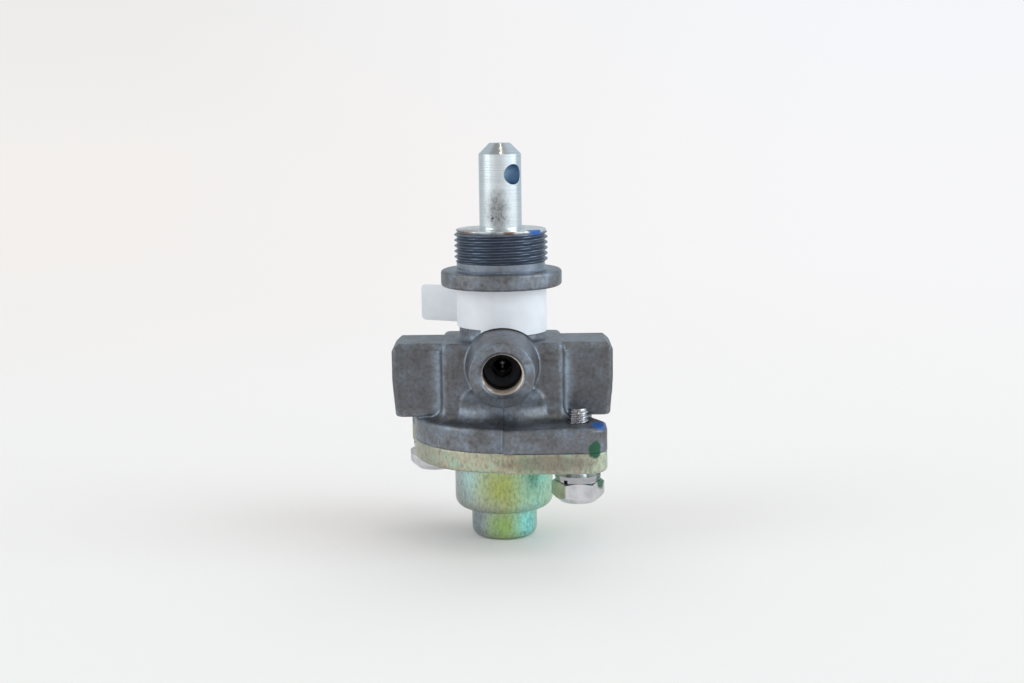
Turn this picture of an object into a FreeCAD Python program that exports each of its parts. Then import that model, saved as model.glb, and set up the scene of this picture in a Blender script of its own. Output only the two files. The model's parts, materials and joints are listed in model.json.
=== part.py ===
import FreeCAD, Part
import math
import os

from FreeCAD import Vector

# An air brake push-pull control valve for a dashboard: a die-cast body with three
# pipe ports, a threaded neck for the panel, a sprung plunger and a two-step cover.
# Millimetres. Z runs up the plunger, the foot of the cover is at Z = 0, and the
# exhaust port looks along -Y. The supply port is on -X, the delivery port on +X.

# Heights of the outside, stacked from the foot upwards
foot_cup_h = 8.8
spring_cup_h = 15.3
cover_flange_t = 5.9
body_flange_t = 7.0
body_h = 21.9
neck_h = 15.2
panel_flange_t = 4.7
thread_relief_h = 2.2
thread_h = 8.4
neck_land_h = 1.1
plunger_out_h = 24.5

# Round sizes of the outside
foot_cup_d = 19.2
spring_cup_d = 28.8
flange_d = 52.0
core_w = 34.8
core_t = 27.0
core_corner_r = 1.5
core_foot_r = 4.2
drum_d = 36.4
drum_h = 9.6
drum_top_r = 4.0
neck_d = 24.8
neck_foot_r = 1.6
panel_flange_d = 35.0
relief_d = 25.8
neck_thread_d = 26.99
neck_land_d = 26.0
plunger_d = 12.6
knob_end_d = 12.2
knob_end_h = 24.0
knob_lead_h = 0.4
plunger_tip_d = 6.0
cross_hole_d = 5.8
cross_hole_down = 8.8
cross_hole_turn = 39.0

# Flange ears and their screws
front_ear_x = 29.2
front_ear_y = 28.0
back_ear_x = 27.9
back_ear_y = 27.9
ear_waist_x = 24.4
ear_waist_y = 7.8
ear_corner_r = 5.5
screw_x = 21.1
screw_y = 17.2
screw_d = 6.35
screw_head_af = 13.0
screw_head_h = 6.0
screw_head_face_d = 10.4
screw_head_bevel_h = 2.1
screw_head_rim_h = 0.5
screw_point_h = 1.3
screw_point_d = 4.9
screw_proud = 4.0
screw_backed_out = 2.0
lock_washer_d = 12.5
lock_washer_t = 0.9
flat_washer_d = 13.0
flat_washer_t = 0.9
washer_split = 1.2
washer_split_turn = -30.0

# Ports, and the blocks and the boss that hold them
port_span = 63.5
port_block_w = 20.0
port_block_h = 21.5
port_up = 10.95
port_bore_d = 11.1
port_mouth_d = 12.9
port_depth = 12.5
block_blend_r = 1.95
block_chamfer = 2.0
block_end_chamfer = 1.2
block_corner_r = 1.0
block_lift = 0.2
block_lean = 0.9
exhaust_reach = 29.0
exhaust_up = 15.55
exhaust_face_d = 18.2
exhaust_base_d = 21.8
exhaust_depth = 11.0

# Walls and inner sizes
cup_wall = 2.5
cover_floor = 2.5
guide_d = 18.0
guide_h = 12.8
guide_bore_d = 9.2
stop_chamber_d = 16.4
collar_d = 15.0
collar_t = 3.0
travel = 8.0
stem_d = 5.6
land_h = 3.5
land_inset = 0.1
exhaust_land_up = 1.6
tail_d = 4.6
tail_shoulder_down = 10.8
tail_h = 5.2
snap_ring_t = 1.2
snap_ring_w = 2.6
snap_groove_deep = 1.0
delivery_passage_d = 3.6
supply_passage_d = 3.0
exhaust_passage_d = 5.0
guide_hole_d = 2.6
guide_hole_count = 4
guide_recess_h = 3.6
guide_recess_deep = 1.4

# Spring and its seat
spring_d = 12.4
spring_wire_d = 1.3
spring_turns = 5.5
spring_wire_sides = 10
seat_d = 13.0
seat_t = 1.6
seat_rim_h = 1.6
clip_t = 0.8
clip_d = 8.6
clip_gap = 3.0
clip_groove_deep = 0.6

# Rubber rings: the section, and the room that a groove leaves each side of it
ring_section_d = 1.7
ring_side_room = 0.15
cover_ring_section_d = 1.8
cover_ring_d = 29.4
wiper_down = 3.4
neck_ring_down = 14.0

# The plain wrap label and its free tail
label_t = 0.35
label_gap = 0.3
label_foot = 2.0
label_h = 13.1
label_step_h = 1.7
label_step_x = 6.0
label_tail_l = 13.5
label_tail_h = 10.6
label_tail_t = 0.5
label_tail_turn = 154.0
label_tail_corner = 1.4

# Clearances
running_fit = 0.05
thread_fit = 0.03
screw_clearance = 0.3
screw_face_d = 8.0
stop_gap = 0.2
rubber_fit = 0.03

# Small edge work
edge_round = 0.6
cup_round_large = 3.0
cup_round_small = 2.4
flange_edge_round = 1.2
mouth_chamfer = 0.9
past = 1.0

# The bare panel sunk in the front ear's face
pad_left = 2.4
pad_right = 22.4
pad_high = 1.5
pad_deep = 0.35

# Levels that follow from the stack
z_cup_step = foot_cup_h
z_cover_under = foot_cup_h + spring_cup_h
z_joint = z_cover_under + cover_flange_t
z_ledge = z_joint + body_flange_t
z_drum_top = z_ledge + drum_h
z_block_low = z_ledge + block_lift
z_block_top = z_ledge + port_block_h
z_core_top = z_ledge + body_h
z_panel = z_core_top + neck_h + panel_flange_t
z_thread = z_panel + thread_relief_h
z_neck_top = z_thread + thread_h + neck_land_h
z_plunger_top = z_neck_top + plunger_out_h
z_port = z_ledge + port_up
z_exhaust = z_ledge + exhaust_up
z_guide_top = z_exhaust - exhaust_passage_d / 2 - ring_side_room
z_guide_foot = z_guide_top - guide_h
z_stop = z_guide_top + stop_gap + travel + collar_t
z_neck_ring = z_neck_top - neck_ring_down
z_wiper = z_neck_top - wiper_down
z_supply_land = z_guide_foot + land_inset
z_exhaust_land = z_guide_top + exhaust_land_up
z_guide_hole = z_guide_foot + land_inset + land_h + guide_hole_d / 2 + ring_side_room
z_tail_shoulder = z_supply_land - tail_shoulder_down
z_seat = z_tail_shoulder - seat_t
z_knob_end = z_plunger_top - knob_end_h
ring_r = ring_section_d / 2
groove_h = ring_section_d + 2 * ring_side_room


def turned(points):
    """A solid turned about Z from (radius, height) corners."""
    corners = [Vector(r, 0, z) for r, z in points]
    outline = Part.makePolygon(corners + corners[:1])
    return Part.Face(outline).revolve(Vector(0, 0, 0), Vector(0, 0, 1), 360)


def disc(diameter, z_low, z_high, x=0.0, y=0.0):
    return Part.makeCylinder(diameter / 2, z_high - z_low, Vector(x, y, z_low))


def tube(outer_d, inner_d, z_low, z_high, x=0.0, y=0.0):
    outer = disc(outer_d, z_low, z_high, x, y)
    return outer.cut(disc(inner_d, z_low - past, z_high + past, x, y))


def rod(diameter, start, end):
    """A round bar from one point to another."""
    run = end - start
    return Part.makeCylinder(diameter / 2, run.Length, start, run)


def o_ring(centre_r, z, section_d=ring_section_d):
    return Part.makeTorus(centre_r, section_d / 2, Vector(0, 0, z))


def prism(corners, z_low, z_high):
    """A straight-sided solid on (x, y) corners."""
    points = [Vector(x, y, z_low) for x, y in corners]
    face = Part.Face(Part.makePolygon(points + points[:1]))
    return face.extrude(Vector(0, 0, z_high - z_low))


def upright_edges_at(solid, x, y):
    """The upright edges that stand on one point of the plan."""
    found = []
    for edge in solid.Edges:
        ends = [vertex.Point for vertex in edge.Vertexes]
        near = all(math.hypot(p.x - x, p.y - y) < edge_round / 2 for p in ends)
        if near and len(ends) == 2:
            found.append(edge)
    return found


def circle_edges(solid, diameter, z):
    """The full or part circles about Z of one diameter at one height."""
    found = []
    for edge in solid.Edges:
        if not isinstance(edge.Curve, Part.Circle):
            continue
        same_size = abs(edge.Curve.Radius - diameter / 2) < running_fit
        centre = edge.Curve.Center
        on_axis = math.hypot(centre.x, centre.y) < running_fit
        if same_size and on_axis and abs(centre.z - z) < running_fit:
            found.append(edge)
    return found


def ear(side, ear_x, ear_y, z_low, z_high):
    """One squarish flange ear: side is +1 at front right, -1 at back left."""
    corners = [
        (0, 0),
        (0, -ear_y),
        (ear_x, -ear_y),
        (ear_x, -screw_y),
        (ear_waist_x * ear_x / front_ear_x, -ear_waist_y),
    ]
    solid = prism([(side * x, side * y) for x, y in corners], z_low, z_high)
    return solid.makeFillet(ear_corner_r, upright_edges_at(solid, side * ear_x, -side * ear_y))


def flange(z_low, z_high):
    """The round flange with its two screw ears."""
    plate = disc(flange_d, z_low, z_high)
    plate = plate.fuse(ear(1, front_ear_x, front_ear_y, z_low, z_high))
    plate = plate.fuse(ear(-1, back_ear_x, back_ear_y, z_low, z_high))
    return plate.removeSplitter()


def edges_at_height(solid, z):
    """The edges that lie flat at one height."""
    found = []
    for edge in solid.Edges:
        box = edge.BoundBox
        if abs(box.ZMin - z) < running_fit and abs(box.ZMax - z) < running_fit:
            found.append(edge)
    return found


def upright_edges(solid):
    """The straight edges that stand up or lean only a little."""
    found = []
    for edge in solid.Edges:
        box = edge.BoundBox
        if box.YLength < running_fit and box.ZLength > block_chamfer + box.XLength:
            found.append(edge)
    return found


def port_blocks():
    """Both side port blocks as one bar, its upper edges chamfered and its ends leaning in."""
    reach = port_span / 2
    foot_reach = reach - block_lean
    side_view = [
        (-foot_reach, z_block_low),
        (foot_reach, z_block_low),
        (reach, z_port),
        (reach, z_block_top),
        (-reach, z_block_top),
        (-reach, z_port),
    ]
    points = [Vector(x, -port_block_w / 2, z) for x, z in side_view]
    face = Part.Face(Part.makePolygon(points + points[:1]))
    bar = face.extrude(Vector(0, port_block_w, 0))
    bar = bar.makeChamfer(block_chamfer, edges_at_height(bar, z_block_top))
    bar = bar.makeChamfer(block_end_chamfer, upright_edges(bar))
    return bar.makeFillet(block_corner_r, edges_at_height(bar, z_block_low))


def front_boss(room=0.0):
    """The tapering boss of the exhaust port, which runs back into the neck."""
    root = core_t / 3
    return Part.makeCone(
        exhaust_base_d / 2 + room,
        exhaust_face_d / 2 + room,
        exhaust_reach - root,
        Vector(0, -root, z_exhaust),
        Vector(0, -1, 0),
    )


def core():
    """The flat-sided block in the middle, which the neck stands on."""
    corner = Vector(-core_w / 2, -core_t / 2, z_joint + past)
    block = Part.makeBox(core_w, core_t, z_core_top - z_joint - past, corner)
    return block.makeFillet(core_corner_r, upright_edges(block) + edges_at_height(block, z_core_top))


def neck_foot():
    """The hollow round where the neck stands on the flat of the core."""
    z_high = z_core_top + neck_foot_r
    ring = tube(neck_d + 2 * neck_foot_r, neck_d - 2 * neck_foot_r, z_core_top, z_high)
    ring = ring.cut(Part.makeTorus(neck_d / 2 + neck_foot_r, neck_foot_r, Vector(0, 0, z_high)))
    flat_w = core_w - 2 * core_corner_r
    flat_t = core_t - 2 * core_corner_r
    corner = Vector(-flat_w / 2, -flat_t / 2, z_core_top)
    return ring.common(Part.makeBox(flat_w, flat_t, neck_foot_r, corner))


def foot_casting():
    """Flange, round drum and core in one, with a hollow round where they stand on the flange."""
    plate = flange(z_joint, z_ledge)
    plate = plate.makeFillet(flange_edge_round, edges_at_height(plate, z_ledge))
    drum = disc(drum_d, z_joint + past, z_drum_top)
    drum = drum.makeFillet(drum_top_r, circle_edges(drum, drum_d, z_drum_top))
    whole = plate.fuse([drum, core()]).removeSplitter()
    inner = []
    for edge in edges_at_height(whole, z_ledge):
        reach = max(math.hypot(v.Point.x, v.Point.y) for v in edge.Vertexes)
        if reach < flange_d / 2 - 2 * flange_edge_round:
            inner.append(edge)
    return whole.makeFillet(core_foot_r, inner)


def block_blends():
    """The hollow rounds between the core's side walls and the port blocks' faces."""
    z_low = z_ledge + block_lift
    height = z_block_top - block_chamfer - z_low
    r = block_blend_r
    blends = []
    for side_x in (1, -1):
        for side_y in (1, -1):
            near = Vector(side_x * core_w / 2, side_y * port_block_w / 2, z_low)
            far = near + Vector(side_x * r, side_y * r, 0)
            corner = Vector(min(near.x, far.x), min(near.y, far.y), z_low)
            filler = Part.makeBox(r, r, height, corner)
            blends.append(filler.cut(disc(2 * r, z_low - past, z_block_top, far.x, far.y)))
    return blends


def ear_panel():
    """The shallow bare panel in the front face of the front ear."""
    corner = Vector(pad_left, -front_ear_y - past, z_joint - past)
    return Part.makeBox(
        pad_right - pad_left,
        past + pad_deep,
        body_flange_t - pad_high + past,
        corner,
    )


def port_cut(mouth, inward, depth):
    """The tapping hole of one port, with its countersunk mouth."""
    hole = rod(port_bore_d, mouth - inward * past, mouth + inward * depth)
    sink = Part.makeCone(port_mouth_d / 2, port_bore_d / 2, mouth_chamfer, mouth, inward)
    tip = Part.makeCone(port_bore_d / 2, 0, port_bore_d / 4, mouth + inward * depth, inward)
    return hole.fuse([sink, tip])


def body_passages():
    """Drillings from the foot of each port into the valve bore."""
    end = port_span / 2 - port_depth
    bore_r = guide_d / 2
    delivery = rod(
        delivery_passage_d,
        Vector(end + past, 0, z_guide_hole),
        Vector(bore_r - past, 0, z_guide_hole),
    )
    supply_high = Vector(-end - past, 0, z_port - port_bore_d / 4)
    supply_low = Vector(-bore_r + past, 0, z_joint + supply_passage_d)
    supply = rod(supply_passage_d, supply_high, supply_low)
    exhaust_z = z_guide_top + exhaust_passage_d / 2 + ring_side_room
    exhaust = rod(
        exhaust_passage_d,
        Vector(0, -(exhaust_reach - exhaust_depth) - past, exhaust_z),
        Vector(0, -stop_chamber_d / 2 + past, exhaust_z),
    )
    return [delivery, supply, exhaust]


def valve_bore():
    """Everything that is turned out of the body along its axis."""
    groove_z = z_guide_foot - snap_ring_t - running_fit
    bore_d = plunger_d + 2 * running_fit
    wiper_r = plunger_d / 2 + 2 * running_fit + ring_section_d + ring_side_room
    return [
        disc(guide_d, z_joint - past, z_guide_top),
        disc(stop_chamber_d, z_guide_top - past, z_stop),
        disc(bore_d, z_stop - past, z_neck_top + past),
        disc(guide_d + 2 * snap_groove_deep, groove_z, groove_z + snap_ring_t + running_fit),
        disc(2 * wiper_r, z_wiper - groove_h / 2, z_wiper + groove_h / 2),
    ]


def screw_places():
    return ((1, screw_x, -screw_y), (-1, -screw_x, screw_y))


def neck():
    """The turned neck: panel flange, relief, thread at its crest and the top land."""
    z_flange = z_panel - panel_flange_t
    flange_r = panel_flange_d / 2
    thread_r = neck_thread_d / 2
    z_thread_end = z_thread + thread_h
    return turned([
        (0, z_core_top - past),
        (neck_d / 2, z_core_top - past),
        (neck_d / 2, z_flange),
        (flange_r - edge_round, z_flange),
        (flange_r, z_flange + edge_round),
        (flange_r, z_panel - edge_round),
        (flange_r - edge_round, z_panel),
        (relief_d / 2, z_panel),
        (relief_d / 2, z_thread),
        (thread_r, z_thread + thread_r - relief_d / 2),
        (thread_r, z_thread_end),
        (neck_land_d / 2, z_thread_end + thread_r - neck_land_d / 2),
        (neck_land_d / 2, z_neck_top),
        (0, z_neck_top),
    ])


def valve_body():
    """The zinc die casting with its neck, ports, flange and machined bores."""
    body = foot_casting().fuse([port_blocks(), front_boss(), neck(), neck_foot()] + block_blends())
    cuts = valve_bore() + body_passages() + [ear_panel()]
    for side in (1, -1):
        mouth = Vector(side * port_span / 2, 0, z_port)
        cuts.append(port_cut(mouth, Vector(-side, 0, 0), port_depth))
    cuts.append(port_cut(Vector(0, -exhaust_reach, z_exhaust), Vector(0, 1, 0), exhaust_depth))
    for side, x, y in screw_places():
        hole_r = screw_d / 2 + thread_fit
        cuts.append(disc(2 * hole_r, z_joint - past, z_ledge + past, x, y))
        cuts.append(disc(screw_face_d, z_ledge, z_ledge + core_foot_r + past, x, y))
    return body.cut(cuts).removeSplitter()


def lower_cover():
    """The stepped cover: a foot cup for the spring and a wider cup for the spring seat."""
    outside = disc(foot_cup_d, 0, z_cup_step + past)
    outside = outside.makeFillet(cup_round_small, circle_edges(outside, foot_cup_d, 0))
    wide = disc(spring_cup_d, z_cup_step, z_cover_under + past)
    wide = wide.makeFillet(cup_round_large, circle_edges(wide, spring_cup_d, z_cup_step))
    plate = flange(z_cover_under, z_joint)
    plate = plate.makeFillet(flange_edge_round, edges_at_height(plate, z_cover_under))
    shell = plate.fuse([outside, wide])
    inner_foot_d = foot_cup_d - 2 * cup_wall
    inner_wide_d = spring_cup_d - 2 * cup_wall
    z_inner_step = z_cup_step + cup_wall
    cuts = [
        disc(inner_foot_d, cover_floor, z_inner_step + past),
        disc(inner_wide_d, z_inner_step, z_joint + past),
        tube(
            cover_ring_d + cover_ring_section_d + 2 * ring_side_room,
            cover_ring_d - cover_ring_section_d - 2 * ring_side_room,
            z_joint - cover_ring_section_d - rubber_fit,
            z_joint + past,
        ),
    ]
    for side, x, y in screw_places():
        hole_d = screw_d + 2 * screw_clearance
        cuts.append(disc(hole_d, z_cover_under - past, z_joint + past, x, y))
    return shell.cut(cuts).removeSplitter()


def plunger():
    """The plunger, pulled out: tip cone, stop collar, two spool lands and a tail."""
    r = plunger_d / 2
    knob_r = knob_end_d / 2
    land_r = guide_bore_d / 2 - running_fit
    stem_r = stem_d / 2
    tail_r = tail_d / 2
    z_clip = z_seat - clip_t
    clip_floor = tail_r - clip_groove_deep
    tip_r = plunger_tip_d / 2
    body = turned([
        (0, z_tail_shoulder - tail_h),
        (tail_r - clip_groove_deep, z_tail_shoulder - tail_h),
        (tail_r, z_tail_shoulder - tail_h + clip_groove_deep),
        (tail_r, z_clip),
        (clip_floor, z_clip),
        (clip_floor, z_seat),
        (tail_r, z_seat),
        (tail_r, z_tail_shoulder),
        (stem_r, z_tail_shoulder),
        (stem_r, z_supply_land),
        (land_r, z_supply_land),
        (land_r, z_supply_land + land_h),
        (stem_r, z_supply_land + land_h),
        (stem_r, z_exhaust_land),
        (land_r, z_exhaust_land),
        (land_r, z_exhaust_land + land_h),
        (stem_r, z_exhaust_land + land_h),
        (stem_r, z_stop - collar_t),
        (collar_d / 2, z_stop - collar_t),
        (collar_d / 2, z_stop),
        (r, z_stop),
        (r, z_knob_end - knob_lead_h),
        (knob_r, z_knob_end),
        (knob_r, z_plunger_top - (knob_r - tip_r)),
        (tip_r, z_plunger_top),
        (0, z_plunger_top),
    ])
    cuts = []
    for z, outer_r in ring_places():
        floor_r = outer_r - running_fit - ring_section_d
        cuts.append(tube(2 * outer_r + past, 2 * floor_r, z - groove_h / 2, z + groove_h / 2))
    turn = math.radians(cross_hole_turn)
    along = Vector(math.sin(turn), -math.cos(turn), 0)
    centre = Vector(0, 0, z_plunger_top - cross_hole_down)
    cuts.append(rod(cross_hole_d, centre - along * plunger_d, centre + along * plunger_d))
    return body.cut(cuts)


def ring_places():
    """Height of each rubber ring on the plunger, and the radius of the bore that it runs in."""
    land_mid = land_h / 2
    return (
        (z_neck_ring, plunger_d / 2 + running_fit),
        (z_exhaust_land + land_mid, guide_bore_d / 2),
        (z_supply_land + land_mid, guide_bore_d / 2),
    )


def plunger_ring(index):
    z, bore_r = ring_places()[index]
    return o_ring(bore_r - rubber_fit - ring_r, z)


def guide_ring_levels():
    room = groove_h / 2 + ring_side_room + stop_gap
    return (z_guide_top - room, z_guide_foot + room)


def plunger_guide():
    """The sleeve that the spool lands run in, with a ring groove at each end."""
    outer_d = guide_d - 2 * running_fit
    sleeve = tube(outer_d, guide_bore_d, z_guide_foot, z_guide_top)
    cuts = []
    for z in guide_ring_levels():
        floor_d = guide_d - 2 * ring_section_d - 2 * rubber_fit
        cuts.append(tube(guide_d + past, floor_d, z - groove_h / 2, z + groove_h / 2))
    recess_low = z_guide_hole - guide_recess_h / 2
    recess_d = outer_d - 2 * guide_recess_deep
    cuts.append(tube(guide_d + past, recess_d, recess_low, recess_low + guide_recess_h))
    for index in range(guide_hole_count):
        angle = 2 * math.pi * index / guide_hole_count
        outward = Vector(math.cos(angle), math.sin(angle), 0)
        start = Vector(0, 0, z_guide_hole)
        cuts.append(rod(guide_hole_d, start, start + outward * guide_d))
    return sleeve.cut(cuts)


def guide_ring(index):
    return o_ring(guide_d / 2 - rubber_fit / 2 - ring_r, guide_ring_levels()[index])


def snap_ring():
    """The split ring in the bore under the guide."""
    outer_r = guide_d / 2 + snap_groove_deep - running_fit
    z_top = z_guide_foot
    ring = tube(2 * outer_r, 2 * (outer_r - snap_ring_w), z_top - snap_ring_t, z_top)
    corner = Vector(0, -snap_ring_w, z_top - snap_ring_t - past)
    gap = Part.makeBox(guide_d, 2 * snap_ring_w, snap_ring_t + 2 * past, corner)
    return ring.cut(gap)


def spring_seat():
    """The dished washer that the spring lifts against the tail shoulder."""
    hole_d = tail_d + 2 * running_fit
    plate = tube(seat_d, hole_d, z_seat, z_tail_shoulder)
    pilot_d = spring_d - 2 * spring_wire_d - 2 * screw_clearance
    pilot = tube(pilot_d, clip_d + 2 * screw_clearance, z_seat - seat_rim_h, z_seat)
    return plate.fuse(pilot).removeSplitter()


def seat_clip():
    """The open clip in the groove of the tail."""
    groove_d = tail_d - 2 * clip_groove_deep + 2 * running_fit
    clip = tube(clip_d, groove_d, z_seat - clip_t + running_fit, z_seat - running_fit)
    corner = Vector(0, -clip_gap / 2, z_seat - clip_t - past)
    gap = Part.makeBox(clip_d, clip_gap, clip_t + past, corner)
    return clip.cut(gap)


def return_spring():
    """The compression spring, its ends ground flat on the floor and on the seat."""
    height = z_seat - cover_floor
    coil_r = (spring_d - spring_wire_d) / 2
    pitch = height / spring_turns
    path = Part.makeHelix(pitch, height, coil_r)
    corners = []
    for index in range(spring_wire_sides):
        angle = 2 * math.pi * index / spring_wire_sides
        out = coil_r + spring_wire_d / 2 * math.cos(angle)
        corners.append(Vector(out, 0, spring_wire_d / 2 * math.sin(angle)))
    section = Part.makePolygon(corners + corners[:1])
    coil = Part.Wire(path.Edges).makePipeShell([section], True, True)
    coil.translate(Vector(0, 0, cover_floor))
    slab = disc(2 * spring_d, cover_floor, z_seat)
    return coil.common(slab)


def cover_screw(side, x, y):
    """A hex screw, its point proud of the ear. The front one is backed out a little."""
    stack = lock_washer_t + flat_washer_t
    drop = screw_backed_out if side > 0 else 0
    z_head_top = z_cover_under - stack - drop
    corner_r = screw_head_af / math.sqrt(3)
    corners = []
    for index in range(6):
        angle = math.pi / 3 * index
        corners.append((x + corner_r * math.cos(angle), y + corner_r * math.sin(angle)))
    head = prism(corners, z_head_top - screw_head_h, z_head_top)
    z_head = z_head_top - screw_head_h
    dome = turned([
        (0, z_head),
        (screw_head_face_d / 2, z_head),
        (corner_r, z_head + screw_head_bevel_h),
        (corner_r, z_head_top - screw_head_rim_h),
        (screw_head_af / 2, z_head_top),
        (0, z_head_top),
    ])
    dome.translate(Vector(x, y, 0))
    head = head.common(dome)
    z_point = z_ledge + screw_proud
    z_full = z_point - screw_point_h
    shank = disc(screw_d, z_head_top - past, z_full, x, y)
    full_r = screw_d / 2
    point = Part.makeCone(full_r, screw_point_d / 2, screw_point_h, Vector(x, y, z_full))
    return head.fuse([shank, point]).removeSplitter()


def lock_washer(side, x, y):
    """The split washer next to the screw head."""
    drop = screw_backed_out if side > 0 else 0
    z_low = z_cover_under - flat_washer_t - lock_washer_t - drop
    hole_d = screw_d + 2 * running_fit
    ring = tube(lock_washer_d, hole_d, z_low, z_low + lock_washer_t, x, y)
    gap_h = lock_washer_t + 2 * past
    corner = Vector(x, y - side * washer_split, z_low - past)
    gap = Part.makeBox(lock_washer_d, washer_split, gap_h, corner)
    gap.rotate(Vector(x, y, z_low), Vector(0, 0, 1), washer_split_turn - 90 * side)
    return ring.cut(gap)


def flat_washer(side, x, y):
    drop = screw_backed_out if side > 0 else 0
    z_high = z_cover_under - drop
    hole_d = screw_d + 2 * running_fit
    return tube(flat_washer_d, hole_d, z_high - flat_washer_t, z_high, x, y)


def neck_label():
    """The plain label wrapped round the neck, its two ends stuck together as a tail.

    Its lower edge steps up on the left and clears the front boss.
    """
    z_low = z_core_top + label_foot
    inner_d = neck_d + 2 * label_gap
    wrap = tube(inner_d + 2 * label_t, inner_d, z_low, z_low + label_h)
    tail = Part.makeBox(
        label_tail_l + label_t,
        label_tail_t,
        label_tail_h,
        Vector(inner_d / 2, -label_tail_t / 2, z_low + label_step_h),
    )
    outer_x = inner_d / 2 + label_tail_l + label_t
    corners = [e for e in tail.Edges if abs(e.CenterOfMass.x - outer_x) < thread_fit]
    upright = [e for e in corners if abs(e.Length - label_tail_t) < thread_fit]
    tail = tail.makeFillet(label_tail_corner, upright)
    tail.rotate(Vector(0, 0, 0), Vector(0, 0, 1), label_tail_turn)
    step_corner = Vector(-neck_d - label_step_x, -neck_d, z_low - past)
    step = Part.makeBox(neck_d, 2 * neck_d, label_step_h + past, step_corner)
    return wrap.cut([step, front_boss(label_gap)]).fuse(tail).removeSplitter()


def build():
    """Every piece by the name of its node."""
    front, back = screw_places()
    wiper_r = plunger_d / 2 + 2 * running_fit + ring_r
    z_cover_ring = z_joint - cover_ring_section_d / 2 - rubber_fit / 2
    return {
        "valve_body": valve_body(),
        "lower_cover": lower_cover(),
        "plunger": plunger(),
        "plunger_neck_o_ring": plunger_ring(0),
        "exhaust_land_o_ring": plunger_ring(1),
        "supply_land_o_ring": plunger_ring(2),
        "neck_wiper_ring": o_ring(wiper_r, z_wiper),
        "plunger_guide": plunger_guide(),
        "guide_upper_o_ring": guide_ring(0),
        "guide_lower_o_ring": guide_ring(1),
        "guide_snap_ring": snap_ring(),
        "spring_seat": spring_seat(),
        "seat_clip": seat_clip(),
        "return_spring": return_spring(),
        "cover_seal_ring": o_ring(cover_ring_d / 2, z_cover_ring, cover_ring_section_d),
        "front_cover_screw": cover_screw(*front),
        "back_cover_screw": cover_screw(*back),
        "front_lock_washer": lock_washer(*front),
        "back_lock_washer": lock_washer(*back),
        "front_flat_washer": flat_washer(*front),
        "back_flat_washer": flat_washer(*back),
        "neck_label": neck_label(),
    }


os.makedirs("parts", exist_ok=True)
for name, shape in build().items():
    solids = len(shape.Solids)
    state = "valid" if shape.isValid() else "NOT VALID"
    print(name, solids, round(shape.Volume, 1), state)
    shape.exportStep("parts/" + name + ".step")
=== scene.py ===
import json
import math

import bmesh
import bpy
import numpy as np
from mathutils import Matrix, Vector


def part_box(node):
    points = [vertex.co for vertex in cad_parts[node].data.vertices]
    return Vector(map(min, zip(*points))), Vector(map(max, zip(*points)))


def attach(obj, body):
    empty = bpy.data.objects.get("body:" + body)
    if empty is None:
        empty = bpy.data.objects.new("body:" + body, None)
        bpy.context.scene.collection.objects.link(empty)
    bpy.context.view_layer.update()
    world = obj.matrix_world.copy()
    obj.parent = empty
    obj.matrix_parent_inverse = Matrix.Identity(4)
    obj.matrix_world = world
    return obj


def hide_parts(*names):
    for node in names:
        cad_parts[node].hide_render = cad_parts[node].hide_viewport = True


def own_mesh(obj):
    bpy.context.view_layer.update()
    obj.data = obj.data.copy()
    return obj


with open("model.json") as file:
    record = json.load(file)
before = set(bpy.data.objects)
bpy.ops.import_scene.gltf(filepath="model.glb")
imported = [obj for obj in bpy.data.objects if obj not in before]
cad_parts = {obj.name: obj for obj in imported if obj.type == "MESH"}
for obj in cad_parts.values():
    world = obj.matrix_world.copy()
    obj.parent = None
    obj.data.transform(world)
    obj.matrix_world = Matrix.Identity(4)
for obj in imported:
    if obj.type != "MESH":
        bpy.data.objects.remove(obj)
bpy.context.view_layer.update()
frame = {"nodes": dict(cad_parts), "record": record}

MM = 0.001

# The photograph's view: a slightly raised long lens in front of the exhaust port
FOCAL_PX = 1536.0
FRAME_W = 1024.0
SENSOR = 36.0
CAMERA_REACH = 448.4 * MM
CAMERA_PITCH = math.radians(9.04)
CAMERA_ROLL = math.radians(0.72)
CAMERA_ASIDE = 2.84 * MM
CAMERA_AIM_UP = 57.4 * MM

# Studio light: the tent's level, and name, place, size, power and colour of each lamp
WORLD_LEVEL = 1.8
LAMPS = (
    ("high_back", (0.0, 1.0, 1.0), (1.4, 0.9), 3.7, (1.0, 0.98, 0.95)),
    ("left_window", (-2.0, -0.7, 1.0), (1.3, 2.0), 10.8, (0.84, 0.95, 1.0)),
    ("right_window", (1.9, -0.5, 1.1), (1.3, 2.0), 14.5, (0.86, 0.95, 1.0)),
    ("top_strip", (0.13, -0.2, 1.3), (0.1, 0.3), 0.6, (1.0, 0.92, 0.7)),
)

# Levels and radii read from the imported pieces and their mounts
MOUNTS = {m["name"]: m for m in frame["record"]["mounts"]}
BODY_LOW, BODY_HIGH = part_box("valve_body")
WASHER_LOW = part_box("front_lock_washer")[0]
WASHER_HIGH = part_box("front_flat_washer")[1]
PANEL_Z = MOUNTS["panel_seat"]["pos_m"][2]
THREAD_MID = MOUNTS["neck_thread"]["pos_m"][2]
THREAD_HALF = MOUNTS["neck_thread"]["dims"]["length_mm"] / 2 * MM
THREAD_R = MOUNTS["neck_thread"]["dims"]["r_mm"] * MM
PORT_R = MOUNTS["exhaust_port"]["dims"]["r_mm"] * MM

# The turned neck above the casting
NECK_PITCH = 25.4 / 16 * MM
NECK_DEPTH = 0.9 * MM
PANEL_FLANGE_R = 17.5 * MM
PANEL_FLANGE_T = 4.7 * MM
RELIEF_R = 12.9 * MM
LAND_R = 13.0 * MM
NECK_BORE_R = 6.35 * MM
NECK_EDGE = 0.9 * MM
SMALL_EDGE = 0.3 * MM

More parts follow.
